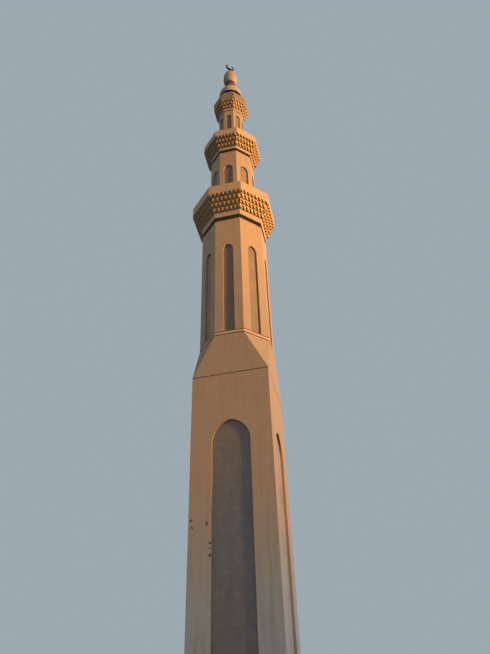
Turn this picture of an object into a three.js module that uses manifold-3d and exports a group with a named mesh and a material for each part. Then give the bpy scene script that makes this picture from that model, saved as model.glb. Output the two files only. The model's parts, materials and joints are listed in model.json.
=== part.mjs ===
// Three-stage minaret. Millimetres, +Z up, origin on the ground under the tower's axis,
// one flat side of the square base facing -Y. The tower is hollow: an outer leaf whose tall
// niches are cut right through, and an inner leaf that closes them at the back.
import * as THREE from "three";
import { ConvexGeometry } from "three/addons/geometries/ConvexGeometry.js";
import { mergeVertices } from "three/addons/utils/BufferGeometryUtils.js";
import Module from "manifold-3d";

const wasm = await Module();
wasm.setup();

// Driving dimensions. A radius of an eight-sided piece is measured to the middle of its sides.
const FIT = 0.3;
const BASE_HALF = 1350;
const BASE_TOP = 15260;
const BASE_INNER_HALF = 1050;
const LEAF = 81;
const FLOOR_THICK = 150;
const SHADOW_LINE = 35;
const SHADOW_DEPTH = 30;
const BROACH_TOP = 17070;
const STRING_TOP = 17250;

const SHAFT_1 = { low: 17250, top: 23520, foot: 1331, head: 1316, back: 1250, inner: 1050 };
const SHAFT_2 = { low: 24070, top: 29067, foot: 1033, head: 981, back: 936, inner: 783 };
const SHAFT_3 = { low: 29440, top: 33430, foot: 607, head: 607, back: 555, inner: 457 };

const NICHE_BASE = { half: 634, sill: 1200, spring: 12590, bow: 1.3 };
const NICHE_1 = { half: 214, sill: 17260, spring: 21690, bow: 1.6 };
const NICHE_2 = { half: 219, sill: 25560, spring: 27700, bow: 1.4 };
const NICHE_3 = { half: 135, sill: 31000, spring: 32850, bow: 1.4 };

const BALCONY_1 = { slab: 23790, low: 1334, high: 1373, tiers: [247, 246, 245, 160], step: 96.25,
  floor: 24743.5, kerb: 200, band: 554, lean: 14, parapet: 120 };
const BALCONY_2 = { slab: 29275, low: 995, high: 1027, tiers: [250, 248, 168], step: 104,
  floor: 29884, kerb: 200, band: 478, lean: 30, parapet: 100 };
const CROWN = { slab: 33495, low: 608, high: 632, top: 33655, tiers: [208, 225, 125], step: 79 };
const NECK_1_RADIUS = 1176;
const NECK_2_RADIUS = 869;
const NECK_3_RADIUS = 567;

const SKIRT = { band: 34680, brow: 892, top: 35430, radius: 575, thick: 90 };
const BELL = { foot: 550, rim: 35530, wall: 90 };
const NECK = { low: 36670, top: 37300, radius: 287, head: 275 };
const BULB_TOP = 38630;
const STEM = { top: 39016, radius: 25 };
const CRESCENT = { outer: 259, inner: 216, shift: 45, thick: 84, turn: 40 };

const EIGHTH = Math.PI / 4;
const TO_CORNER = 1 / Math.cos(Math.PI / 8);
const HALF_SIDE = Math.tan(Math.PI / 8);

// Colours and finishes
const RENDER = { color: 0xae8b6c, roughness: 0.9, metalness: 0 };
const NICHE_RENDER = { color: 0x816b59, roughness: 0.92, metalness: 0 };
const STONEWORK = { color: 0xb08d6c, roughness: 0.88, metalness: 0 };
const CREAM = { color: 0xd8c39c, roughness: 0.8, metalness: 0 };
const DARK_RENDER = { color: 0x5d4334, roughness: 0.85, metalness: 0 };
const CONCRETE = { color: 0x8d8a84, roughness: 0.95, metalness: 0 };
const DARK_METAL = { color: 0x23282b, roughness: 0.5, metalness: 0.8 };

const group = new THREE.Group();
group.name = "minaret";

function place(name, geometry, finish) {
  const mesh = new THREE.Mesh(geometry, new THREE.MeshStandardMaterial(finish));
  mesh.name = name;
  group.add(mesh);
}

// Joining and cutting
function solid(geometry) {
  const plain = geometry.clone();
  plain.deleteAttribute("normal");
  plain.deleteAttribute("uv");
  const welded = mergeVertices(plain, 1e-3);
  return new wasm.Manifold(new wasm.Mesh({
    numProp: 3,
    vertProperties: new Float32Array(welded.attributes.position.array),
    triVerts: new Uint32Array(welded.index.array),
  }));
}

function shape(body) {
  const mesh = body.getMesh();
  const geometry = new THREE.BufferGeometry();
  geometry.setAttribute("position", new THREE.BufferAttribute(mesh.vertProperties, 3));
  geometry.setIndex(new THREE.BufferAttribute(mesh.triVerts, 1));
  return geometry;
}

const cut = (a, b) => shape(solid(a).subtract(solid(b)));
const join = (a, b) => shape(solid(a).add(solid(b)));
const meet = (a, b) => shape(solid(a).intersect(solid(b)));

// A profile of [radius, height] points turned about the axis
function turned(profile, sides) {
  const points = profile.map(([radius, height]) => new THREE.Vector2(radius, height));
  const geometry = new THREE.LatheGeometry(points, sides, Math.PI / sides, 2 * Math.PI);
  geometry.rotateX(Math.PI / 2);
  return shape(solid(geometry));
}

// The same with eight flat sides, radii measured to the middle of a side
function eightSided(profile) {
  return turned(profile.map(([radius, height]) => [radius * TO_CORNER, height]), 8);
}

function ring(inner, low, high, bottom, top) {
  return eightSided([[inner, bottom], [low, bottom], [high, top], [inner, top], [inner, bottom]]);
}

function extruded(outline, depth) {
  return new THREE.ExtrudeGeometry(outline, { depth, bevelEnabled: false, curveSegments: 10 });
}

function box(width, depth, bottom, top) {
  const geometry = new THREE.BoxGeometry(width, depth, top - bottom);
  geometry.translate(0, 0, (bottom + top) / 2);
  return geometry;
}

// A pointed arch through the front wall. Each side of the arch is struck with a radius of
// bow times half the width.
function nicheCutter(niche, from, to) {
  const { half, sill, spring, bow } = niche;
  const radius = half * bow;
  const centre = radius - half;
  const rise = Math.sqrt(radius * radius - centre * centre);
  const outline = new THREE.Shape();
  outline.moveTo(-half, sill);
  outline.lineTo(half, sill);
  outline.lineTo(half, spring);
  outline.absarc(-centre, spring, radius, 0, Math.atan2(rise, centre), false);
  outline.absarc(centre, spring, radius, Math.PI - Math.atan2(rise, centre), Math.PI, false);
  outline.lineTo(-half, sill);
  const geometry = extruded(outline, to - from);
  geometry.rotateX(Math.PI / 2);
  geometry.translate(0, -from, 0);
  return geometry;
}

// A wedge of plan around the front direction, as wide as one side of the tower
function wedge(angle, reach, bottom, top) {
  const back = FIT / 2 / Math.sin(angle / 2);
  const spread = reach * Math.tan(angle / 2);
  const outline = new THREE.Shape();
  outline.moveTo(0, -back);
  outline.lineTo(-spread, -back - reach);
  outline.lineTo(spread, -back - reach);
  outline.lineTo(0, -back);
  const geometry = extruded(outline, top - bottom + 200);
  geometry.translate(0, 0, bottom - 100);
  return geometry;
}

// Square base
place("floor_slab", box(2 * BASE_INNER_HALF - 2 * FIT, 2 * BASE_INNER_HALF - 2 * FIT, 0, FLOOR_THICK),
  CONCRETE);

const baseBack = BASE_HALF - LEAF;
const baseTube = cut(box(2 * BASE_HALF, 2 * BASE_HALF, 0, BASE_TOP),
  box(2 * baseBack, 2 * baseBack, -10, BASE_TOP + 10));
const baseWall = cut(meet(baseTube, wedge(Math.PI / 2, 2000, 0, BASE_TOP)),
  nicheCutter(NICHE_BASE, baseBack - 50, BASE_HALF + 50));
["front", "right", "back", "left"].forEach((side, turn) => {
  place(`base_wall_${side}`, baseWall.clone().rotateZ(turn * Math.PI / 2), RENDER);
});
const innerOuter = 2 * (baseBack - FIT);
place("base_inner_leaf", cut(box(innerOuter, innerOuter, 0, BASE_TOP),
  box(2 * BASE_INNER_HALF, 2 * BASE_INNER_HALF, -10, BASE_TOP + 10)), NICHE_RENDER);

// Broach from the square to the octagon, standing on a recessed foot that draws a thin shadow line
function broach(half, radius, bottom, top) {
  const side = radius * HALF_SIDE;
  const points = [];
  for (const x of [-1, 1]) {
    for (const y of [-1, 1]) {
      points.push(new THREE.Vector3(x * half, y * half, bottom));
      points.push(new THREE.Vector3(x * radius, y * side, top));
      points.push(new THREE.Vector3(x * side, y * radius, top));
    }
  }
  return new ConvexGeometry(points);
}
const footWidth = 2 * (BASE_HALF - SHADOW_DEPTH);
const broachBody = join(
  broach(BASE_HALF, SHAFT_1.foot + 5, BASE_TOP + FIT + SHADOW_LINE, BROACH_TOP),
  box(footWidth, footWidth, BASE_TOP + FIT, BASE_TOP + FIT + SHADOW_LINE + 5));
const broachRoom = join(
  broach(BASE_INNER_HALF, SHAFT_1.inner, BASE_TOP + FIT + SHADOW_LINE, BROACH_TOP + 0.01),
  join(box(2 * BASE_INNER_HALF, 2 * BASE_INNER_HALF, BASE_TOP - 10, BASE_TOP + FIT + SHADOW_LINE + 5),
    ring(0, SHAFT_1.inner, SHAFT_1.inner, BROACH_TOP - 1, BROACH_TOP + 10)));
place("broach", cut(broachBody, broachRoom), RENDER);

// String course, a nearly flush band between two thin shadow lines
const stringIn = SHAFT_1.foot - SHADOW_DEPTH;
const stringLow = BROACH_TOP + FIT;
const stringHigh = STRING_TOP - FIT;
place("string_course", eightSided([
  [SHAFT_1.inner, stringLow],
  [stringIn, stringLow],
  [stringIn, stringLow + SHADOW_LINE],
  [SHAFT_1.foot + 9, stringLow + SHADOW_LINE],
  [SHAFT_1.foot + 7, stringHigh - SHADOW_LINE],
  [stringIn, stringHigh - SHADOW_LINE],
  [stringIn, stringHigh],
  [SHAFT_1.inner, stringHigh],
  [SHAFT_1.inner, stringLow],
]), STONEWORK);

// Eight-sided shafts: eight outer walls with a niche each, and one inner leaf behind them
const FACES = ["front", "front_right", "right", "back_right", "back", "back_left", "left", "front_left"];

function shaft(name, stage, niche) {
  const bottom = stage.low + FIT;
  const tube = ring(stage.back, stage.foot, stage.head, bottom, stage.top);
  const wall = cut(meet(tube, wedge(EIGHTH, 2000, bottom, stage.top)),
    nicheCutter(niche, stage.back - 50, stage.foot + 50));
  FACES.forEach((face, turn) => {
    place(`${name}_wall_${face}`, wall.clone().rotateZ(turn * EIGHTH), RENDER);
  });
  const back = stage.back - FIT;
  place(`${name}_inner_leaf`, ring(stage.inner, back, back, bottom, stage.top), NICHE_RENDER);
}
shaft("shaft_1", SHAFT_1, NICHE_1);
shaft("shaft_2", SHAFT_2, NICHE_2);

const shaft3Bottom = SHAFT_3.low + FIT;
let shaft3 = ring(SHAFT_3.back, SHAFT_3.foot, SHAFT_3.head, shaft3Bottom, SHAFT_3.top);
for (let turn = 0; turn < 8; turn += 1) {
  const niche = nicheCutter(NICHE_3, SHAFT_3.back - 50, SHAFT_3.foot + 50);
  shaft3 = cut(shaft3, niche.rotateZ(turn * EIGHTH));
}
place("shaft_3_wall", shaft3, RENDER);
place("shaft_3_inner_leaf",
  ring(SHAFT_3.inner, SHAFT_3.back - FIT, SHAFT_3.back - FIT, shaft3Bottom, SHAFT_3.top), NICHE_RENDER);

// The stepped outside of a corbel, one step out and one height for each tier
function corbelSteps(corbel, bottom) {
  const points = [];
  let radius = corbel.high;
  let height = bottom;
  corbel.tiers.forEach((rise) => {
    radius += corbel.step;
    points.push([radius, height]);
    height += rise;
    points.push([radius, height]);
  });
  points[0][1] += FIT;
  return points;
}

// Gallery: recessed neck, slab with a plain edge, stepped corbel that carries the walkway
// and ends in a kerb, and a plain parapet on the kerb
function gallery(name, balcony, below, above, neckRadius) {
  const slabTop = above.low;
  place(`${name}_neck`, ring(below.inner, neckRadius, neckRadius, below.top + FIT, balcony.slab), RENDER);
  place(`${name}_slab`, ring(above.inner, balcony.low, balcony.high, balcony.slab + FIT, slabTop),
    STONEWORK);
  const inner = above.foot + FIT;
  const steps = corbelSteps(balcony, slabTop);
  const [outer, kerbTop] = steps.at(-1);
  place(`${name}_corbel`, eightSided([
    [inner, slabTop + FIT],
    ...steps,
    [outer - balcony.kerb, kerbTop],
    [outer - balcony.kerb, balcony.floor],
    [inner, balcony.floor],
    [inner, slabTop + FIT],
  ]), STONEWORK);
  const within = outer - balcony.parapet;
  place(`${name}_parapet`, ring(within, outer, outer - balcony.lean, kerbTop + FIT,
    kerbTop + balcony.band), STONEWORK);
}
gallery("balcony_1", BALCONY_1, SHAFT_1, SHAFT_2, NECK_1_RADIUS);
gallery("balcony_2", BALCONY_2, SHAFT_2, SHAFT_3, NECK_2_RADIUS);

// Crown over the third shaft: neck, slab, three corbel tiers and a steep eight-sided skirt
place("crown_neck", ring(SHAFT_3.inner, NECK_3_RADIUS, NECK_3_RADIUS, SHAFT_3.top + FIT, CROWN.slab),
  RENDER);
place("crown_slab", ring(SHAFT_3.inner, CROWN.low, CROWN.high, CROWN.slab + FIT, CROWN.top), STONEWORK);
const crownSteps = corbelSteps(CROWN, CROWN.top);
const [skirtFoot, crownTop] = crownSteps.at(-1);
place("crown_corbel", eightSided([
  [SHAFT_3.inner, CROWN.top + FIT],
  ...crownSteps,
  [SHAFT_3.inner, crownTop],
  [SHAFT_3.inner, CROWN.top + FIT],
]), STONEWORK);
place("crown_skirt", eightSided([
  [skirtFoot - SKIRT.thick, crownTop + FIT],
  [skirtFoot, crownTop + FIT],
  [SKIRT.brow, SKIRT.band],
  [SKIRT.radius, SKIRT.top],
  [SKIRT.radius - SKIRT.thick, SKIRT.top],
  [skirtFoot - SKIRT.thick, SKIRT.band],
  [skirtFoot - SKIRT.thick, crownTop + FIT],
]), RENDER);

// Bell-shaped cap, hollow and open below, with a small recess under its rim
place("bell_cap", turned([
  [BELL.foot - 60, SKIRT.top + FIT],
  [BELL.foot, SKIRT.top + FIT],
  [BELL.foot, BELL.rim],
  [655, BELL.rim],
  [652, 35750],
  [642, 35920],
  [618, 36060],
  [580, 36170],
  [528, 36280],
  [468, 36385],
  [405, 36480],
  [345, 36565],
  [303, 36635],
  [NECK.radius, NECK.low],
  [0, NECK.low],
  [0, NECK.low - BELL.wall - 60],
  [330, 36400],
  [430, 36250],
  [500, 36060],
  [520, 35800],
  [BELL.foot - 60, SKIRT.top + FIT],
], 32), CREAM);

place("finial_neck", turned([
  [0, NECK.low + FIT],
  [NECK.radius, NECK.low + FIT],
  [NECK.head, NECK.top],
  [0, NECK.top],
], 32), DARK_RENDER);

place("finial_bulb", turned([
  [0, NECK.top + FIT],
  [272, NECK.top + FIT],
  [305, 37345],
  [362, 37420],
  [392, 37550],
  [394, 37750],
  [384, 37950],
  [370, 38100],
  [347, 38220],
  [306, 38340],
  [250, 38450],
  [182, 38540],
  [112, 38600],
  [50, BULB_TOP],
  [0, BULB_TOP],
], 32), CREAM);

// Crescent on a short stem, opening upward, its tips nearly meeting
const moon = new THREE.Shape();
const tipHeight = (CRESCENT.outer ** 2 - CRESCENT.inner ** 2 + CRESCENT.shift ** 2) / (2 * CRESCENT.shift);
const tipHalf = Math.sqrt(CRESCENT.outer ** 2 - tipHeight ** 2);
const outerTip = Math.atan2(tipHeight, tipHalf);
const innerTip = Math.atan2(tipHeight - CRESCENT.shift, tipHalf);
moon.absarc(0, 0, CRESCENT.outer, Math.PI - outerTip, outerTip, false);
moon.absarc(0, CRESCENT.shift, CRESCENT.inner, innerTip, Math.PI - innerTip, true);
const moonPlate = new THREE.ExtrudeGeometry(moon, {
  depth: CRESCENT.thick,
  bevelEnabled: false,
  curveSegments: 24,
});
moonPlate.rotateX(Math.PI / 2);
moonPlate.translate(0, CRESCENT.thick / 2, STEM.top + CRESCENT.outer - 20);
const stem = turned([
  [0, BULB_TOP + FIT],
  [50, BULB_TOP + FIT],
  [50, BULB_TOP + 40],
  [STEM.radius, BULB_TOP + 60],
  [STEM.radius, STEM.top + 20],
  [0, STEM.top + 20],
], 16);
place("crescent", join(moonPlate, stem).rotateZ(THREE.MathUtils.degToRad(CRESCENT.turn)), DARK_METAL);

export default group;
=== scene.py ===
"""Finishes of a three-stage minaret. Painted and bare cement render, galleries of painted cast stone
on rows of arched cells, a bell cap, an ovoid bulb and a dark crescent."""
import functools
import json
import math

import bmesh
import bpy
from mathutils import Matrix, Vector
from mathutils.geometry import interpolate_bezier


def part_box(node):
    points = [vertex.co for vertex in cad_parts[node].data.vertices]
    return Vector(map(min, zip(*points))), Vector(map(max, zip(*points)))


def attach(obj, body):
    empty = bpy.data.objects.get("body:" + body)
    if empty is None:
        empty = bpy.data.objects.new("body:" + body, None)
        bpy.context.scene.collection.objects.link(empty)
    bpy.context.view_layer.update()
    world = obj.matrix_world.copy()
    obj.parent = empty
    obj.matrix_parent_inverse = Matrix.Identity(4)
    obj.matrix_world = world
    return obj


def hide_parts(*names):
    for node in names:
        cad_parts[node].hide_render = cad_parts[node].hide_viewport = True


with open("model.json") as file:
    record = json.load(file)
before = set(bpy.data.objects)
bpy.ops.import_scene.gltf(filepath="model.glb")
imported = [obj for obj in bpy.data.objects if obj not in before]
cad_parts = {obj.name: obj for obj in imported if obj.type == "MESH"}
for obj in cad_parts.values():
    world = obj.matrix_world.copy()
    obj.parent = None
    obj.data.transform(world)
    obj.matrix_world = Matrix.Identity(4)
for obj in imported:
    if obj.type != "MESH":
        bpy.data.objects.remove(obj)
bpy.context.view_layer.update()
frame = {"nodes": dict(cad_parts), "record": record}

bl_info = {
    "name": "Minaret finishes",
    "version": (1, 0, 0),
    "blender": (4, 5, 0),
    "location": "View3D > Sidebar > Minaret",
    "description": "Corbels of arched cells, bell cap, bulb, crescent and masonry finishes of a minaret",
    "category": "Object",
}

# Turn from one face of the octagons to the next, and half of it
EIGHTH = math.pi / 4
MITRE = math.pi / 8
# Distance in metres within which points are one
WELD = 0.0001
# Height in metres that the ramps over the tower's height cover, and over which a ragged level wanders
SPAN = 40.0
WANDER = 4.0
# Half the widths of the base and of its niches, and the slack of a test against them, in metres
BASE_HALF = 1.35
NICHE_HALF = 0.634
SLACK = 0.001
# Place across and up the front of the base, and radius, of each scab of paint that has come off
SCABS = ((-1.265, 10.01, 0.035), (-1.23, 9.79, 0.03), (-0.77, 9.89, 0.04), (-0.675, 9.27, 0.03),
         (-0.675, 9.09, 0.025), (-0.675, 8.92, 0.035))
# How far in metres the outline of a scab strays
RAGGED = 0.16
# Share of a cell's arch that is upright
UPRIGHT = 0.36
# For each step inwards of the hollow behind an arch, its share of the depth and how far the arch
# narrows and sinks
RINGS = ((0.5, 0.94, 0.94), (0.36, 0.82, 0.84), (0.14, 0, 0.7))
# Height in metres of the bell cap's rim
RIM = 35.53
# Power of the crescent's width that its thickness follows
TAPER = 0.35


def linear(code):
    """Linear red, green, blue and alpha of an sRGB hex colour."""
    parts = [int(code[i:i + 2], 16) / 255 for i in (1, 3, 5)]
    return [p / 12.92 if p <= 0.04045 else ((p + 0.055) / 1.055) ** 2.4 for p in parts] + [1.0]


def length(name, metres, description):
    return bpy.props.FloatProperty(
        name=name, description=description, default=metres, min=0.001, subtype="DISTANCE", unit="LENGTH")


def colour(name, code, description):
    return bpy.props.FloatVectorProperty(
        name=name, description=description, default=linear(code), size=4, min=0, max=1, subtype="COLOR")


def angle(name, degrees, description):
    return bpy.props.FloatProperty(
        name=name, description=description, default=math.radians(degrees), subtype="ANGLE", unit="ROTATION")


class MinaretSizes(bpy.types.PropertyGroup):
    """Sizes of the pieces modelled here."""
    cell_1: length("Lower gallery cell", 0.189, "Width of one cell under the lower gallery")
    cell_2: length("Upper gallery cell", 0.172, "Width of one cell under the upper gallery")
    cell_3: length("Crown cell", 0.171, "Width of one cell under the crown")
    arch: bpy.props.FloatProperty(
        name="Cell arch", description="Height of a cell's pointed arch as a share of its row", default=0.9,
        min=0.3, max=0.95)
    opening: bpy.props.FloatProperty(
        name="Cell opening", description="Share of a cell's width that is open", default=0.76,
        min=0.2, max=0.85)
    hollow: bpy.props.FloatProperty(
        name="Cell hollow", description="Depth of a cell as a share of its row's step out", default=0.75,
        min=0.2, max=0.95)
    kerb: length("Kerb", 0.2, "Width of the kerb that carries a parapet")
    crescent_outer: length("Crescent radius", 0.265, "Radius of the crescent's outer edge")
    crescent_inner: length("Crescent inner radius", 0.213, "Radius of the crescent's inner edge")
    crescent_shift: length("Crescent shift", 0.055, "Height of the inner edge's centre over the outer one's")
    crescent_thick: length("Crescent thickness", 0.12, "Thickness of the crescent at its middle")
    crescent_turn: angle("Crescent turn", 40, "Turn of the crescent about the tower's axis")


class MinaretColours(bpy.types.PropertyGroup):
    """Colours of the finishes and of the stage."""
    paint: colour("Wall paint", "#ae8b6c", "Buff masonry paint on the walls")
    paint_worn: colour("Worn wall paint", "#a6886c", "Wall paint that is thin or rained on")
    # Brown-grey dirt that also paints the shade where the warm light falls off, low down and on the broach
    dust_and_shade: colour("Dust", "#917966", "Brown-grey dust on the middle of the tower")
    # Pale grey dirt that also paints the cooler shade at the foot, out of the warm light
    splash: colour("Low dust", "#8e8f8b", "Pale grey dust and splashes low on the walls")
    # Real soot and dirt, and also the painted shade on faces that look down, in grooves, necks and joints,
    # and on the side turned from the light
    soot_and_shade: colour("Soot", "#3b2b1e", "Soot and dirt under ledges and in grooves")
    render: colour("Bare render", "#866854", "Unpainted cement render in the niches")
    # Grey dirt, also used as painted shade low down on the niche backs
    render_dust_and_shade: colour("Dusty render", "#5e5d5e", "Grey dust on the bare render, most of all low down")
    render_lime: colour("Lime bloom", "#7d746c", "Pale bloom on the bare render")
    stone: colour("Cast stone", "#b08d6c", "Painted cast stone of the galleries")
    cell: colour("Cell paint", "#ca9f6d", "Deeper paint on the rows of cells")
    # Darker colour of the cells' hollows, partly dust and partly painted shade
    cell_dust_and_shade: colour("Cell dust", "#bd8f53", "Dusty inside of the cells")
    cream: colour("Cap paint", "#b19672", "Pale paint on the bell cap and the bulb")
    # Dark brown that stands partly for the paint and partly for the shade under the bulb, as painted shade
    brown: colour("Neck paint", "#5c2812", "Brown paint on the neck under the bulb")
    concrete: colour("Concrete", "#8b8780", "Floated concrete of the ground floor")
    iron: colour("Iron", "#1b1b1c", "Blackened iron of the crescent")
    backdrop: colour("Backdrop", "#9da9b1", "Pale backdrop and soft fill light")
    floor: colour("Floor", "#c9c6c0", "Pale studio floor")
    key: colour("Key light", "#ffc561", "Warm soft key light")
    front: colour("Front light", "#ffe5ce", "Warm low fill light from the front")
    side: colour("Side light", "#a8ccff", "Cool soft light from behind on the right")


# Materials

def add(tree, kind, inputs=None, stops=(), **settings):
    """Adds a node with its settings, rising colour stops and inputs, and returns its output. An input is
    named, or numbered where names repeat, and is a value or another node's output."""
    node = tree.nodes.new(kind)
    for name, value in settings.items():
        setattr(node, name, value)
    for index, (position, shade) in enumerate(stops):
        band = node.color_ramp.elements
        element = band[index] if index < 2 else band.new(position)
        element.position = position
        element.color = shade if hasattr(shade, "__len__") else (shade, shade, shade, 1)
    for name, value in (inputs or {}).items():
        named = [s for s in node.inputs if s.name == name and s.enabled]
        socket = node.inputs[name] if isinstance(name, int) else named[0]
        if isinstance(value, bpy.types.NodeSocket):
            tree.links.new(value, socket)
        else:
            socket.default_value = value
    return next((s for s in node.outputs if s.enabled), None)


def start(name, roughness, ior=1.5):
    """A new material: its node tree, its surface shader and the place on the object in metres."""
    material = bpy.data.materials.new(name)
    material.use_nodes = True
    tree = material.node_tree
    shader = tree.nodes["Principled BSDF"]
    shader.inputs["Roughness"].default_value = roughness
    if ior:
        shader.inputs["IOR"].default_value = ior
    place = tree.nodes.new("ShaderNodeTexCoord").outputs["Object"]
    return material, tree, shader, place


def by_height(*levels):
    """Stops of a ramp over the tower's height, from pairs of a height in metres and a share."""
    return [(level / SPAN, share) for level, share in levels]


def facing(tree):
    """How far the surface faces right (X), back (Y) and up (Z), each from -1 to 1."""
    normal = add(tree, "ShaderNodeNewGeometry").node.outputs["Normal"]
    return add(tree, "ShaderNodeSeparateXYZ", {"Vector": normal}).node.outputs


def painted_render(c):
    """Masonry paint rolled on sand and cement render. The eye gets an even buff with slow clouds where
    the coat is thin, soft streaks below each ledge, brown dirt and painted shade that are thickest low
    down and on the broach, pale grey dirt and painted shade at the foot, painted shade under ledges, in
    the shadow lines and on the lower reveals, scabs of lost paint and a faint hand-floated wave."""
    material, tree, shader, place = start("painted_cement_render", 0.88)
    height = add(tree, "ShaderNodeSeparateXYZ", {"Vector": place}).node.outputs["Z"]
    level = add(tree, "ShaderNodeMath", {0: height, 1: SPAN}, operation="DIVIDE")
    # Clouds about 2 m across, mottle about 300 mm, runs 120 mm wide and 2 m long
    clouds = add(tree, "ShaderNodeTexNoise", {"Vector": place, "Scale": 0.5, "Detail": 4.0})
    clouds = add(tree, "ShaderNodeValToRGB", {"Fac": clouds}, stops=((0.4, 0), (0.62, 0.55)))
    mottle = {"Vector": place, "Scale": 3.3, "Detail": 5.0, "Roughness": 0.65}
    mottle = add(tree, "ShaderNodeTexNoise", mottle)
    mottle = add(tree, "ShaderNodeValToRGB", {"Fac": mottle}, stops=((0.46, 0), (0.72, 0.5)))
    runs = add(tree, "ShaderNodeMapping", {"Vector": place, "Scale": (8.0, 8.0, 0.5)})
    runs = add(tree, "ShaderNodeTexNoise", {"Vector": runs, "Scale": 1.0, "Detail": 3.0})
    runs = add(tree, "ShaderNodeValToRGB", {"Fac": runs}, stops=((0.46, 0), (0.66, 1)))
    # Share of the runs that shows at each height, strongest under the ledges
    ledges = add(tree, "ShaderNodeValToRGB", {"Fac": level}, stops=by_height(
        (0, 0.4), (8, 0.15), (13.8, 0.04), (15.248, 0.09), (15.304, 0.06), (16.4, 0.04), (17.06, 0.1),
        (17.28, 0.06), (22, 0.03), (23.52, 0.16), (24, 0.06), (27.6, 0.04), (29.064, 0.16), (29.6, 0.06),
        (32.6, 0.04), (33.428, 0.16), (34.4, 0.15)))
    runs = add(tree, "ShaderNodeMath", {0: runs, 1: ledges}, operation="MULTIPLY")
    # Brown dirt with painted shade dulls the paint low down and most of all on the broach, where the warm
    # light falls off, and pale grey dirt with painted shade reaches 11 m up, both with a ragged edge
    edge = add(tree, "ShaderNodeTexNoise", {"Vector": place, "Scale": 0.8, "Detail": 4.0})
    edge = add(tree, "ShaderNodeMath", {0: edge, 1: WANDER, 2: height}, operation="MULTIPLY_ADD")
    edge = {0: edge, 1: 1 / SPAN, 2: -WANDER / 2 / SPAN}
    edge = add(tree, "ShaderNodeMath", edge, operation="MULTIPLY_ADD")
    dust_and_shade = add(tree, "ShaderNodeValToRGB", {"Fac": edge}, stops=by_height(
        (9.34, 0.6), (11.02, 0.35), (13.12, 0.48), (16.06, 0.65), (20.26, 0.35), (23.2, 0.05), (26.56, 0.22)))
    splash = add(tree, "ShaderNodeValToRGB", {"Fac": edge}, stops=by_height((7.24, 0.9), (11.02, 0.0)))
    # Painted shade on faces that look down, in the 35 mm shadow line below the broach and on the recessed
    # necks, and darker paint on the crown's skirt, as dirt and painted shade
    under = add(tree, "ShaderNodeMapRange", {
        "Value": facing(tree)["Z"], "From Min": -0.9, "From Max": -0.4, "To Min": 0.75, "To Max": 0.0})
    recess = add(tree, "ShaderNodeValToRGB", {"Fac": level}, stops=by_height(
        (0, 0), (15.26, 1.0), (15.2972, 0), (23.52, 0.2), (23.7, 0.8), (23.79, 0), (29.0672, 0.2),
        (29.192, 0.8), (29.2752, 0), (33.43, 0.85), (33.4952, 0), (34, 0.37)))
    recess.node.color_ramp.interpolation = "CONSTANT"
    under = add(tree, "ShaderNodeMath", {0: recess, 1: under}, operation="MAXIMUM")
    # Painted shadow on the reveals of the front and back niches of the base below about 10.5 m, where the
    # warm light falls off
    reach = add(tree, "ShaderNodeVectorMath", {0: place}, operation="ABSOLUTE")
    reach = add(tree, "ShaderNodeSeparateXYZ", {"Vector": reach}).node.outputs
    inside = add(tree, "ShaderNodeMath", {0: reach["Y"], 1: BASE_HALF - SLACK}, operation="LESS_THAN")
    between = add(tree, "ShaderNodeMath", {0: reach["X"], 1: NICHE_HALF + SLACK}, operation="LESS_THAN")
    niche = add(tree, "ShaderNodeMath", {0: between, 1: inside}, operation="MULTIPLY")
    reveal = add(tree, "ShaderNodeMapRange", {
        "Value": edge, "From Min": 9.97 / SPAN, "From Max": 11.02 / SPAN, "To Min": 0.75, "To Max": 0.0})
    reveal = add(tree, "ShaderNodeMath", {0: reveal, 1: niche}, operation="MULTIPLY")
    # Scabs of paint, 50 to 100 mm across and ragged, have come off the front between 8.9 and 10 m
    ragged = add(tree, "ShaderNodeTexNoise", {"Vector": place, "Scale": 14.0, "Detail": 3.0})
    ragged = {0: ragged.node.outputs["Color"], 1: (RAGGED, 0.0, RAGGED), 2: place}
    ragged = add(tree, "ShaderNodeVectorMath", ragged, operation="MULTIPLY_ADD")
    scabs = []
    for across, up, radius in SCABS:
        spot = {0: ragged, 1: (across + RAGGED / 2, -BASE_HALF, up + RAGGED / 2)}
        spot = add(tree, "ShaderNodeVectorMath", spot, operation="DISTANCE").node.outputs["Value"]
        scabs.append(add(tree, "ShaderNodeMapRange", {
            "Value": spot, "From Min": radius, "From Max": radius + 0.015, "To Min": 0.9, "To Max": 0.0}))
    tone = c.paint
    for share, shade in (
            (clouds, c.paint_worn), (mottle, c.paint_worn), (dust_and_shade, c.dust_and_shade), (splash, c.splash),
            (runs, c.soot_and_shade), (under, c.soot_and_shade), (reveal, c.soot_and_shade), *((scab, c.soot_and_shade) for scab in scabs)):
        tone = add(tree, "ShaderNodeMix", {"Factor": share, "A": tone, "B": shade}, data_type="RGBA")
    # Sand grains are 1 to 2 mm; they are drawn 30 mm across, the least that shows from the ground
    sand = add(tree, "ShaderNodeTexNoise", {"Vector": place, "Scale": 33.0, "Detail": 2.0})
    speck = add(tree, "ShaderNodeValToRGB", {"Fac": sand}, stops=((0.3, 0.9), (0.7, 1.0)))
    speck = {"Factor": 1.0, "A": tone, "B": speck}
    tone = add(tree, "ShaderNodeMix", speck, data_type="RGBA", blend_type="MULTIPLY")
    tree.links.new(tone, shader.inputs["Base Color"])
    # A wooden float leaves sweeps about 140 mm apart and a few millimetres deep
    sweeps = add(tree, "ShaderNodeTexNoise", {"Vector": place, "Scale": 7.0, "Detail": 2.0})
    relief = add(tree, "ShaderNodeBump", {"Height": sweeps, "Strength": 0.3, "Distance": 0.012})
    relief = {"Height": sand, "Strength": 0.35, "Distance": 0.004, "Normal": relief}
    relief = add(tree, "ShaderNodeBump", relief)
    tree.links.new(relief, shader.inputs["Normal"])
    return material


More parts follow.
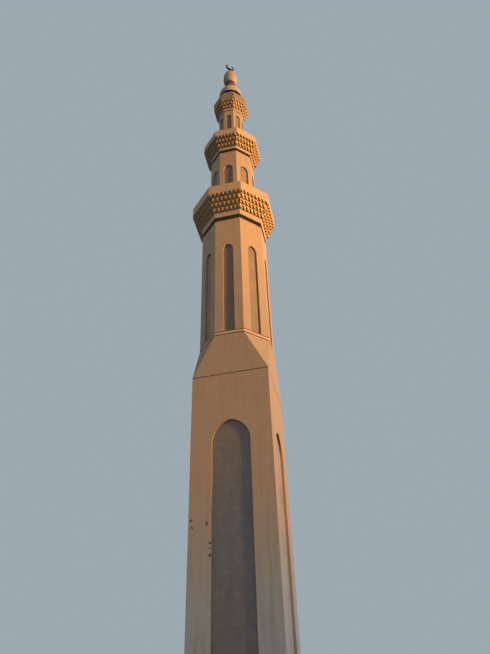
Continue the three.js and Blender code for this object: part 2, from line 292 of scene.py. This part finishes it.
def bare_render(c):
    """Unpainted sand and cement render, gone grey. The eye gets grey dirt and painted shade that thicken
    downwards, the left and right sides painted lighter, wet blotches and lime bloom, runs down the back
    of the niche, and low down the ghost of 200 mm block courses behind a thin coat."""
    material, tree, shader, place = start("bare_cement_render", 0.92)
    height = add(tree, "ShaderNodeSeparateXYZ", {"Vector": place}).node.outputs["Z"]
    # Grey dirt and painted shade, thickest below 10 m and thinning out by 20 m
    low = add(tree, "ShaderNodeMapRange", {
        "Value": height, "From Min": 10.0, "From Max": 20.0, "To Min": 0.95, "To Max": 0.1})
    # Blotches of damp about 500 mm across, bloom about 200 mm, runs 200 mm wide and 1 m long
    damp_and_shade = add(tree, "ShaderNodeTexNoise", {"Vector": place, "Scale": 1.9, "Detail": 5.0, "Roughness": 0.65})
    damp_and_shade = add(tree, "ShaderNodeValToRGB", {"Fac": damp_and_shade}, stops=((0.44, 0), (0.62, 0.4)))
    bloom = add(tree, "ShaderNodeTexNoise", {"Vector": place, "Scale": 4.5, "Detail": 5.0, "Roughness": 0.7})
    bloom = add(tree, "ShaderNodeValToRGB", {"Fac": bloom}, stops=((0.48, 0), (0.7, 0.36)))
    runs = add(tree, "ShaderNodeMapping", {"Vector": place, "Scale": (5.0, 5.0, 0.9)})
    runs = add(tree, "ShaderNodeTexNoise", {"Vector": runs, "Scale": 1.0, "Detail": 5.0})
    runs = add(tree, "ShaderNodeValToRGB", {"Fac": runs}, stops=((0.5, 0), (0.75, 0.17)))
    # Painted light: the left and right sides take the worn wall paint's colour, greyer low down
    side_light_wash = add(tree, "ShaderNodeMath", {0: facing(tree)["X"], 1: 0.5, 2: 0.5}, operation="MULTIPLY_ADD")
    side_light_wash = add(tree, "ShaderNodeValToRGB", {"Fac": side_light_wash}, stops=(
        (0.1, 0.75), (0.3, 0), (0.7, 0), (0.9, 0.35), (1.0, 0.75)))
    splash = add(tree, "ShaderNodeMapRange", {
        "Value": height, "From Min": 8.0, "From Max": 11.5, "To Min": 0.9, "To Max": 0.0})
    coat = add(tree, "ShaderNodeMix", {"Factor": splash, "A": c.paint_worn, "B": c.splash}, data_type="RGBA")
    # Lines 24 mm wide where the block courses show through, below 9.8 m
    course = add(tree, "ShaderNodeMath", {0: height, 1: 0.2}, operation="MODULO")
    course = add(tree, "ShaderNodeMath", {0: course, 1: 0.1, 2: 0.012}, operation="COMPARE")
    seen = add(tree, "ShaderNodeMapRange", {
        "Value": height, "From Min": 8.0, "From Max": 9.8, "To Min": 0.09, "To Max": 0.0})
    course = add(tree, "ShaderNodeMath", {0: course, 1: seen}, operation="MULTIPLY")
    tone = c.render
    for share, shade in ((low, c.render_dust_and_shade), (side_light_wash, coat), (bloom, c.render_lime), (damp_and_shade, c.render_dust_and_shade),
                         (runs, c.soot_and_shade), (course, c.soot_and_shade)):
        tone = add(tree, "ShaderNodeMix", {"Factor": share, "A": tone, "B": shade}, data_type="RGBA")
    tree.links.new(tone, shader.inputs["Base Color"])
    # Sand drawn 36 mm across, as on the painted walls, over the sweeps of a float 200 mm apart
    sand = add(tree, "ShaderNodeTexNoise", {"Vector": place, "Scale": 28.0, "Detail": 3.0})
    sweeps = add(tree, "ShaderNodeTexNoise", {"Vector": place, "Scale": 5.0, "Detail": 2.0})
    relief = add(tree, "ShaderNodeBump", {"Height": sweeps, "Strength": 0.4, "Distance": 0.015})
    relief = {"Height": sand, "Strength": 0.5, "Distance": 0.005, "Normal": relief}
    relief = add(tree, "ShaderNodeBump", relief)
    tree.links.new(relief, shader.inputs["Normal"])
    return material


def painted_stone(c, name, base, soiled, underside_shade_share, side_shade_share=0.0):
    """Cast stone from a mould, brushed with masonry paint. The eye gets a smoother, slightly warmer
    face than the render, with soft soiling that runs down from the edges, painted shade on faces that
    look down and in the joints, and painted shade on the side turned from the light."""
    material, tree, shader, place = start(name, 0.82)
    # Clouds about 600 mm across, runs 70 mm wide and 700 mm long
    cloud = add(tree, "ShaderNodeTexNoise", {"Vector": place, "Scale": 1.6, "Detail": 4.0})
    cloud = add(tree, "ShaderNodeValToRGB", {"Fac": cloud}, stops=((0.42, 0), (0.7, soiled)))
    runs = add(tree, "ShaderNodeMapping", {"Vector": place, "Scale": (14.0, 14.0, 1.4)})
    runs = add(tree, "ShaderNodeTexNoise", {"Vector": runs, "Scale": 1.0, "Detail": 3.0})
    runs = add(tree, "ShaderNodeValToRGB", {"Fac": runs}, stops=((0.52, 0), (0.75, soiled)))
    toward = facing(tree)
    # Painted shade on faces that look down
    under = add(tree, "ShaderNodeMapRange", {
        "Value": toward["Z"], "From Min": -0.9, "From Max": -0.4, "To Min": underside_shade_share, "To Max": 0.0})
    # Painted shade on faces turned away from the light on the right
    damp_and_shade = add(tree, "ShaderNodeMapRange", {
        "Value": toward["X"], "From Min": -0.1, "From Max": 0.7, "To Min": side_shade_share, "To Max": 0.0})
    # Painted shade in the two 35 mm shadow lines of the string course and in the joints under the parapets
    # and the crown's skirt
    height = add(tree, "ShaderNodeSeparateXYZ", {"Vector": place}).node.outputs["Z"]
    level = add(tree, "ShaderNodeMath", {0: height, 1: SPAN}, operation="DIVIDE")
    joint_shade = add(tree, "ShaderNodeValToRGB", {"Fac": level}, stops=by_height(
        (0, 0), (17.0696, 0.8), (17.106, 0), (17.2144, 0.8), (17.2504, 0), (24.88, 0.7), (24.968, 0),
        (30.02, 0.7), (30.106, 0), (34.172, 0.5), (34.212, 0)))
    joint_shade.node.color_ramp.interpolation = "CONSTANT"
    tone = base
    for share, shade in ((cloud, c.paint_worn), (runs, c.cell_dust_and_shade), (under, c.soot_and_shade), (damp_and_shade, c.soot_and_shade),
                         (joint_shade, c.soot_and_shade)):
        tone = add(tree, "ShaderNodeMix", {"Factor": share, "A": tone, "B": shade}, data_type="RGBA")
    tree.links.new(tone, shader.inputs["Base Color"])
    # Blowholes of 2 to 5 mm, drawn 20 mm across so that they show
    pores = add(tree, "ShaderNodeTexNoise", {"Vector": place, "Scale": 50.0, "Detail": 2.0})
    relief = add(tree, "ShaderNodeBump", {"Height": pores, "Strength": 0.3, "Distance": 0.003})
    tree.links.new(relief, shader.inputs["Normal"])
    return material


def brushed_paint(c, name, base, roughness):
    """Masonry paint brushed on a steel-floated cap. The eye gets a closed, slightly silky coat with
    dirt that has run down from the top, painted shade in the recess under the rim and on the side turned from
    the light."""
    material, tree, shader, place = start(name, roughness)
    # Clouds about 400 mm across, runs 80 mm wide and 800 mm long
    cloud = add(tree, "ShaderNodeTexNoise", {"Vector": place, "Scale": 2.4, "Detail": 4.0})
    cloud = add(tree, "ShaderNodeValToRGB", {"Fac": cloud}, stops=((0.45, 0), (0.7, 0.35)))
    runs = add(tree, "ShaderNodeMapping", {"Vector": place, "Scale": (12.0, 12.0, 1.2)})
    runs = add(tree, "ShaderNodeTexNoise", {"Vector": runs, "Scale": 1.0, "Detail": 3.0})
    runs = add(tree, "ShaderNodeValToRGB", {"Fac": runs}, stops=((0.5, 0), (0.74, 0.45)))
    # Painted shade on the side turned from the light, deepest on faces to the left
    damp_and_shade = add(tree, "ShaderNodeMapRange", {
        "Value": facing(tree)["X"], "From Min": -0.85, "From Max": 0.1, "To Min": 0.7, "To Max": 0.0})
    height = add(tree, "ShaderNodeSeparateXYZ", {"Vector": place}).node.outputs["Z"]
    # Painted shade in the recess below the rim
    recess = add(tree, "ShaderNodeMath", {0: height, 1: RIM + 0.01}, operation="LESS_THAN")
    tone = base
    for share, shade in ((cloud, c.paint_worn), (runs, c.soot_and_shade), (damp_and_shade, c.soot_and_shade), (recess, c.soot_and_shade)):
        tone = add(tree, "ShaderNodeMix", {"Factor": share, "A": tone, "B": shade}, data_type="RGBA")
    tree.links.new(tone, shader.inputs["Base Color"])
    # Brush marks of 1 to 2 mm, drawn 40 mm across so that they show
    brush = add(tree, "ShaderNodeTexNoise", {"Vector": place, "Scale": 25.0, "Detail": 2.0})
    relief = add(tree, "ShaderNodeBump", {"Height": brush, "Strength": 0.25, "Distance": 0.003})
    tree.links.new(relief, shader.inputs["Normal"])
    return material


def floated_concrete(c):
    """Concrete floated by hand, with the grey cloud of cement that has worked up and a sandy face."""
    material, tree, shader, place = start("floated_concrete", 0.9)
    # Clouds about 700 mm across and sand drawn 25 mm across so that it shows
    cloud = add(tree, "ShaderNodeTexNoise", {"Vector": place, "Scale": 1.5, "Detail": 5.0})
    tone = {"Factor": cloud, "A": c.concrete, "B": c.render_dust_and_shade}
    tone = add(tree, "ShaderNodeMix", tone, data_type="RGBA")
    tree.links.new(tone, shader.inputs["Base Color"])
    sand = add(tree, "ShaderNodeTexNoise", {"Vector": place, "Scale": 40.0, "Detail": 3.0})
    relief = add(tree, "ShaderNodeBump", {"Height": sand, "Strength": 0.4, "Distance": 0.003})
    tree.links.new(relief, shader.inputs["Normal"])
    return material


def blackened_iron(c):
    """Forged iron, blackened and left outdoors. The eye gets a dark half-shine broken by dull brown
    rust blooms about 60 mm across."""
    material, tree, shader, place = start("blackened_iron", 0.5, None)
    shader.inputs["Metallic"].default_value = 0.85
    bloom = add(tree, "ShaderNodeTexNoise", {"Vector": place, "Scale": 16.0, "Detail": 4.0})
    bloom = add(tree, "ShaderNodeValToRGB", {"Fac": bloom}, stops=((0.5, 0), (0.68, 1)))
    tone = add(tree, "ShaderNodeMix", {"Factor": bloom, "A": c.iron, "B": c.soot_and_shade}, data_type="RGBA")
    tree.links.new(tone, shader.inputs["Base Color"])
    rough = add(tree, "ShaderNodeMapRange", {"Value": bloom, "To Min": 0.42, "To Max": 0.8})
    tree.links.new(rough, shader.inputs["Roughness"])
    # Mill scale flakes, drawn 17 mm across so that they show
    scale = add(tree, "ShaderNodeTexNoise", {"Vector": place, "Scale": 60.0, "Detail": 2.0})
    relief = add(tree, "ShaderNodeBump", {"Height": scale, "Strength": 0.4, "Distance": 0.002})
    tree.links.new(relief, shader.inputs["Normal"])
    return material


@functools.cache
def finishes():
    """The finish of each material slot of the record, made once."""
    c = bpy.context.scene.minaret_colours
    return {
        "render": painted_render(c),
        "niche_render": bare_render(c),
        # The last numbers are the shares of painted shade under faces that look down and on the side turned
        # from the light
        "stonework": painted_stone(c, "painted_cast_stone", c.stone, 0.35, 0.75),
        "cell_stone": painted_stone(c, "soiled_and_shaded_cast_stone", c.cell, 0.5, 0.2, 0.6),
        "cell_dust_and_shade": painted_stone(c, "dusty_and_shaded_cast_stone", c.cell_dust_and_shade, 0.6, 0.3, 0.6),
        "cream_render": brushed_paint(c, "cream_masonry_paint", c.cream, 0.62),
        "dark_render": brushed_paint(c, "brown_masonry_paint_with_shade", c.brown, 0.95),
        "concrete": floated_concrete(c),
        "dark_metal": blackened_iron(c),
    }


# Pieces

def piece(bm, name, node, materials):
    """Welds a mesh, turns its faces outwards, stops if it is not closed, and lets it stand for a node of the
    frame.
    """
    bmesh.ops.remove_doubles(bm, verts=bm.verts, dist=WELD)
    bmesh.ops.recalc_face_normals(bm, faces=bm.faces)
    open_edges = [e for e in bm.edges if not e.is_manifold]
    if open_edges:
        raise RuntimeError(f"{name} has {len(open_edges)} open or shared edges")
    mesh = bpy.data.meshes.new(name)
    bm.to_mesh(mesh)
    bm.free()
    made = bpy.data.objects.new(name, mesh)
    bpy.context.scene.collection.objects.link(made)
    for material in materials:
        mesh.materials.append(finishes()[material])
    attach(made, "root")
    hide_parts(node)
    return made


def smooth(made):
    """Smooth faces, with hard edges where the surface turns by more than 35 degrees."""
    made.data.shade_smooth()
    made.data.set_sharp_from_angle(angle=math.radians(35))


def turned(bm, profile, steps):
    """Turns a chain of (radius, height) points about the tower's axis."""
    points = [bm.verts.new((radius, 0, height)) for radius, height in profile]
    chain = [bm.edges.new(pair) for pair in zip(points, points[1:])]
    bmesh.ops.spin(bm, geom=points + chain, cent=(0, 0, 0), axis=(0, 0, 1), angle=2 * math.pi, steps=steps,
                   use_merge=True)


def curve(start_at, lean_out, lean_in, end_at, parts):
    """Points of (radius, height) on one smooth curve, without its last."""
    knots = [Vector((radius, height)) for radius, height in (start_at, lean_out, lean_in, end_at)]
    return [tuple(p)[:2] for p in interpolate_bezier(*knots, parts + 1)][:-1]


def whole(bm):
    """Every vertex, edge and face of a mesh."""
    return bm.verts[:] + bm.edges[:] + bm.faces[:]


def join(bm, part):
    """Moves one mesh into another."""
    carrier = bpy.data.meshes.new("part")
    part.to_mesh(carrier)
    part.free()
    bm.from_mesh(carrier)
    bpy.data.meshes.remove(carrier)


def chain(bm, corner, *places):
    """Runs edges on from a vertex through some places, and returns the new vertices."""
    made = [corner]
    for place in places:
        made += bmesh.ops.extrude_vert_indiv(bm, verts=made[-1:])["verts"]
        made[-1].co = place
    return made[1:]


def cell(bm, width, arch, front, low, high, back, hollow):
    """One cell of a corbel row on the tower's front side: a pointed arch that is open below, the
    hollow behind it, which narrows to a crease, and the underside that reaches back to the row below."""
    half = bpy.context.scene.minaret_sizes.opening * width / 2
    upright = UPRIGHT * arch
    rise = arch - upright
    radius = (half * half + rise * rise) / (2 * half)
    foot = bm.verts.new((-half, front, low))
    shoulder, = chain(bm, foot, (-half, front, low + upright))
    bow = bmesh.ops.spin(bm, geom=[shoulder], cent=(radius - half, front, low + upright), axis=(0, 1, 0),
                         angle=math.acos((radius - half) / radius), steps=4)
    apex = next(g for g in bow["geom_last"] if isinstance(g, bmesh.types.BMVert))
    apex.co.x = 0
    rim = bm.edges[:]
    for share, narrow, sink in RINGS:
        made = bmesh.ops.extrude_edge_only(bm, edges=rim)["geom"]
        points = {g for g in made if isinstance(g, bmesh.types.BMVert)}
        rim = [g for g in made if isinstance(g, bmesh.types.BMEdge) and set(g.verts) <= points]
        bmesh.ops.scale(bm, vec=(narrow, 1, sink), space=Matrix.Translation((0, 0, -low)), verts=list(points))
        bmesh.ops.translate(bm, vec=(0, share * hollow, 0), verts=list(points))
    pocket = set(bm.faces)
    crease = min((v for v in bm.verts if v.co.z < low + WELD), key=lambda v: -v.co.y)
    outer, _, middle = chain(bm, foot, (-width / 2, front, low), (-width / 2, front, high), (0, front, high))
    bmesh.ops.contextual_create(bm, geom=[middle, apex])
    _, inner = chain(bm, outer, (-width / 2, back, low), (0, back, low))
    bmesh.ops.contextual_create(bm, geom=[inner, crease])
    for flat in ([e for e in bm.edges if all(abs(v.co.y - front) < WELD for v in e.verts)],
                 [e for e in bm.edges if all(abs(v.co.z - low) < WELD for v in e.verts)]):
        bmesh.ops.contextual_create(bm, geom=flat)
    # The hollow's faces take the second finish, darker as dust and painted shade
    for face in bm.faces:
        face.material_index = int(face in pocket)
        face.smooth = face in pocket
    bmesh.ops.mirror(bm, geom=whole(bm), merge_dist=WELD, axis="X")


def corbel(name, node, width, rows, step, first_on_cell, lining):
    """An eight-sided corbel of stepped rows of cells, each row half a cell out of line with the last.
    The rows' heights are given from the second row up, and the lowest row takes what is left."""
    sizes = bpy.context.scene.minaret_sizes
    bottom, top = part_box(node)
    side = bmesh.new()
    high = top.z
    radius = top.x
    for index in reversed(range(len(rows) + 1)):
        low = high - rows[index - 1] if index else bottom.z
        on_cell = first_on_cell == (index % 2 == 0)
        reach = radius * math.tan(MITRE) / width
        count = 2 * math.ceil(reach - 0.5) + 1 if on_cell else 2 * math.ceil(reach)
        row = bmesh.new()
        cell(row, width, sizes.arch * (high - low), -radius, low, high, step - radius, sizes.hollow * step)
        bmesh.ops.translate(row, vec=((1 - count) * width / 2, 0, 0), verts=row.verts)
        bmesh.ops.spin(row, geom=whole(row), cent=(0, 0, 0), axis=(0, 0, 1), dvec=(width, 0, 0), angle=0,
                       steps=count - 1, use_duplicate=True)
        for turn in (-1, 1):
            bmesh.ops.bisect_plane(row, geom=whole(row), dist=WELD / 10, plane_co=(0, 0, 0), clear_outer=True,
                                   plane_no=(turn * math.cos(MITRE), math.sin(MITRE), 0))
        join(side, row)
        high = low
        radius -= step
    bmesh.ops.spin(side, geom=whole(side), cent=(0, 0, 0), axis=(0, 0, 1), angle=2 * math.pi - EIGHTH,
                   steps=7, use_duplicate=True)
    corner = 1 / math.cos(MITRE)
    inside = bmesh.new()
    turned(inside, [(r * corner, z) for r, z in lining], 8)
    bmesh.ops.rotate(inside, cent=(0, 0, 0), matrix=Matrix.Rotation(MITRE, 3, "Z"), verts=inside.verts)
    join(side, inside)
    bmesh.ops.remove_doubles(side, verts=side.verts, dist=WELD)
    for level in (bottom.z, top.z):
        rims = [e for e in side.edges if e.is_boundary and all(abs(v.co.z - level) < WELD for v in e.verts)]
        bmesh.ops.triangle_fill(side, use_beauty=True, edges=rims, normal=(0, 0, 1))
    return piece(side, name, node, ("cell_stone", "cell_dust_and_shade"))


class MINARET_OT_walls(bpy.types.Operator):
    """Gives every wall, band and floor of the frame its finish"""
    bl_idname = "minaret.walls"
    bl_label = "Walls and bands"

    def execute(self, context):
        for part in frame["record"]["subparts"]:
            node = frame["nodes"][part["node"]]
            node.data.materials.clear()
            node.data.materials.append(finishes()[part["material_slot"]])
        return {"FINISHED"}


class MINARET_OT_corbels(bpy.types.Operator):
    """Models the rows of arched cells under both galleries and the crown"""
    bl_idname = "minaret.corbels"
    bl_label = "Corbels of arched cells"

    def execute(self, context):
        sizes = context.scene.minaret_sizes
        for name, node, width, rows, step, first_on_cell, floor, inner in (
                ("lower_gallery_cells", "balcony_1_corbel", sizes.cell_1, (0.246, 0.245, 0.16),
                 0.09625, False, 24.7435, 1.0333),
                ("upper_gallery_cells", "balcony_2_corbel", sizes.cell_2, (0.248, 0.168),
                 0.104, True, 29.884, 0.6073)):
            bottom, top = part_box(node)
            edge = top.x - sizes.kerb
            lining = ((edge, top.z), (edge, floor), (inner, floor), (inner, bottom.z))
            corbel(name, node, width, rows, step, first_on_cell, lining)
        bottom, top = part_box("crown_corbel")
        inner = 0.457
        corbel("crown_cells", "crown_corbel", sizes.cell_3, (0.225, 0.125), 0.079, True,
               ((inner, top.z), (inner, bottom.z)))
        return {"FINISHED"}


class MINARET_OT_cap(bpy.types.Operator):
    """Turns the bell cap, its neck and the bulb"""
    bl_idname = "minaret.cap"
    bl_label = "Bell cap and bulb"

    def execute(self, context):
        bottom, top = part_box("bell_cap")
        shoulder, head = (0.528, 36.28), (0.287, top.z)
        bell = [(0, 36.52), (0.33, 36.4), (0.43, 36.25), (0.5, 36.06), (0.52, 35.8), (0.49, bottom.z),
                (0.55, bottom.z), (0.55, RIM), (0.645, RIM)]
        bell += curve((0.655, RIM + 0.01), (0.667, 35.8), (0.642, 36.08), shoulder, 10)
        bell += curve(shoulder, (0.45, 36.43), (0.345, 36.56), head, 7)
        bell += [head, (0, top.z)]

        bottom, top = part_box("finial_neck")
        head = (0.272, top.z)
        neck = [(0, bottom.z), (0.287, bottom.z)]
        neck += curve((0.275, bottom.z + 0.03), (0.26, bottom.z + 0.16), (0.26, top.z - 0.14), head, 8)
        neck += [head, (0, top.z)]

        bottom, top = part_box("finial_bulb")
        widest, head = (0.394, 37.7), (0.04, top.z)
        bulb = [(0, bottom.z)]
        bulb += curve((0.272, bottom.z), (0.33, 37.37), (0.394, 37.46), widest, 8)
        bulb += curve(widest, (0.394, 38.19), (0.305, 38.54), head, 18)
        bulb += [head, (0, top.z)]

        for name, node, finish, profile in (
                ("bell", "bell_cap", "cream_render", bell), ("bulb_neck", "finial_neck", "dark_render", neck),
                ("bulb", "finial_bulb", "cream_render", bulb)):
            bm = bmesh.new()
            turned(bm, profile, 64)
            smooth(piece(bm, name, node, (finish,)))
        return {"FINISHED"}


class MINARET_OT_crescent(bpy.types.Operator):
    """Sweeps the tapered crescent and sets it on its stem"""
    bl_idname = "minaret.crescent"
    bl_label = "Crescent"

    def execute(self, context):
        sizes = context.scene.minaret_sizes
        outer, inner, shift = sizes.crescent_outer, sizes.crescent_inner, sizes.crescent_shift
        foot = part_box("crescent")[0].z
        seat = 38.99
        tip_height = (outer ** 2 - inner ** 2 + shift ** 2) / (2 * shift)
        reach = math.pi / 2 + math.asin(tip_height / outer)

        def section(turn):
            """Place and size of the cross-section at an angle from the lowest point."""
            gap = math.sqrt(inner ** 2 - (shift * math.sin(turn)) ** 2) - shift * math.cos(turn)
            radial = max(outer - gap, 0.001) / 2
            thick = sizes.crescent_thick / 2 * (2 * radial / (outer - inner + shift)) ** TAPER
            return (Matrix.Rotation(-turn, 4, "Y") @ Matrix.Translation((0, 0, -(outer + gap) / 2))
                    @ Matrix.Rotation(math.pi / 2, 4, "Y") @ Matrix.Diagonal((radial, thick, 1, 1)))

        bm = bmesh.new()
        bmesh.ops.create_circle(bm, cap_ends=False, radius=1, segments=16)
        bmesh.ops.transform(bm, matrix=section(0), verts=bm.verts)
        middle = bm.edges[:]
        steps = 22
        for way in (-1, 1):
            rim = middle
            for step in range(steps):
                now, last = (section(way * reach * count / steps) for count in (step + 1, step))
                made = bmesh.ops.extrude_edge_only(bm, edges=rim)["geom"]
                ring = [g for g in made if isinstance(g, bmesh.types.BMVert)]
                rim = [g for g in made if isinstance(g, bmesh.types.BMEdge) and set(g.verts) <= set(ring)]
                bmesh.ops.transform(bm, matrix=now @ last.inverted(), verts=ring)
            bmesh.ops.pointmerge(bm, verts=ring, merge_co=now.translation)
        bmesh.ops.translate(bm, vec=(0, 0, seat + outer), verts=bm.verts)
        stem, collar, head = 0.025, 0.05, seat + 0.03
        profile = [(0, foot), (collar, foot), (collar, foot + 0.03), (stem, foot + 0.06), (stem, head),
                   (0, head)]
        turned(bm, profile, 24)
        turn = Matrix.Rotation(sizes.crescent_turn, 3, "Z")
        bmesh.ops.rotate(bm, cent=(0, 0, 0), matrix=turn, verts=bm.verts)
        smooth(piece(bm, "crescent_on_stem", "crescent", ("dark_metal",)))
        return {"FINISHED"}


class MINARET_OT_stage(bpy.types.Operator):
    """Sets up the pale floor, the soft lights and the camera of the photograph"""
    bl_idname = "minaret.stage"
    bl_label = "Studio stage"

    def execute(self, context):
        scene = context.scene
        c = scene.minaret_colours
        bm = bmesh.new()
        bmesh.ops.create_grid(bm, x_segments=1, y_segments=1, size=300)
        mesh = bpy.data.meshes.new("studio_floor")
        bm.to_mesh(mesh)
        bm.free()
        mesh.transform(Matrix.Translation((0, 0, -0.002)))
        floor = bpy.data.objects.new("studio_floor", mesh)
        scene.collection.objects.link(floor)
        material, _, shader, _ = start("studio_paper", 0.95)
        shader.inputs["Base Color"].default_value = c.floor
        mesh.materials.append(material)

        world = bpy.data.worlds.new("soft_fill")
        world.use_nodes = True
        world.node_tree.nodes["Background"].inputs["Color"].default_value = c.backdrop
        scene.world = world
        # Each lamp shines on a point of the tower's axis: its height, the lamp's distance from it, and the
        # lamp's turn to the right and tilt from straight above, in degrees
        for name, kind, shade, energy, height, distance, turn, tilt, softness in (
                # Large and warm, far off on the right, fading downwards from the upper tower
                ("key", "SPOT", c.key, 1.29e6, 25.5, 120, 77, 84,
                 {"shadow_soft_size": 7, "spot_size": math.radians(21.2), "spot_blend": 1}),
                # Warm, low in front, on the foot of the tower
                ("front", "SPOT", c.front, 4800, 5, 26, 8, 96,
                 {"shadow_soft_size": 3, "spot_size": math.radians(80), "spot_blend": 1}),
                # Weak and cool, high behind on the right
                ("side", "SUN", c.side, 1.5, 0, 0, 112, 70, {"angle": math.radians(60)})):
            lamp = bpy.data.lights.new(name, kind)
            lamp.color = shade[:3]
            lamp.energy = energy
            for setting, value in softness.items():
                setattr(lamp, setting, value)
            holder = bpy.data.objects.new(name, lamp)
            holder.matrix_world = (
                Matrix.Translation((0, 0, height)) @ Matrix.Rotation(math.radians(turn), 4, "Z")
                @ Matrix.Rotation(math.radians(tilt), 4, "X") @ Matrix.Translation((0, 0, distance)))
            holder.visible_camera = False
            scene.collection.objects.link(holder)

        # The camera stands 19.5 m away and 1.6 m over the ground, 12 degrees right of the front
        distance, eye, right = 19.5, 1.6, math.radians(12.14)
        camera = bpy.data.objects.new("camera", bpy.data.cameras.new("camera"))
        camera.data.sensor_width = 36
        camera.data.lens = 35.91
        camera.data.clip_end = 400
        camera.location = (distance * math.sin(right), -distance * math.cos(right), eye)
        turn, tilt, roll = (Matrix.Rotation(math.radians(degrees), 3, axis) for degrees, axis in (
            (11.19, "Z"), (130.93, "X"), (-2.16, "Z")))
        camera.rotation_euler = (turn @ tilt @ roll).to_euler()
        scene.collection.objects.link(camera)
        scene.camera = camera
        scene.view_settings.view_transform = "Standard"
        return {"FINISHED"}


class MINARET_PT_panel(bpy.types.Panel):
    """Lists the pieces, their sizes and their colours"""
    bl_idname = "MINARET_PT_panel"
    bl_label = "Minaret"
    bl_space_type = "VIEW_3D"
    bl_region_type = "UI"
    bl_category = "Minaret"

    def draw(self, context):
        for operator in OPERATORS:
            self.layout.operator(operator.bl_idname)
        for group in (context.scene.minaret_sizes, context.scene.minaret_colours):
            column = self.layout.column(align=True)
            for name in group.__annotations__:
                column.prop(group, name)


OPERATORS = (MINARET_OT_stage, MINARET_OT_walls, MINARET_OT_corbels, MINARET_OT_cap, MINARET_OT_crescent)
CLASSES = (MinaretSizes, MinaretColours, *OPERATORS, MINARET_PT_panel)


def register():
    for item in CLASSES:
        bpy.utils.register_class(item)
    bpy.types.Scene.minaret_sizes = bpy.props.PointerProperty(type=MinaretSizes)
    bpy.types.Scene.minaret_colours = bpy.props.PointerProperty(type=MinaretColours)


def unregister():
    del bpy.types.Scene.minaret_colours
    del bpy.types.Scene.minaret_sizes
    for item in reversed(CLASSES):
        bpy.utils.unregister_class(item)


def main():
    register()
    bpy.ops.minaret.stage()
    bpy.ops.minaret.walls()
    bpy.ops.minaret.corbels()
    bpy.ops.minaret.cap()
    bpy.ops.minaret.crescent()


if __name__ == "__main__":
    main()
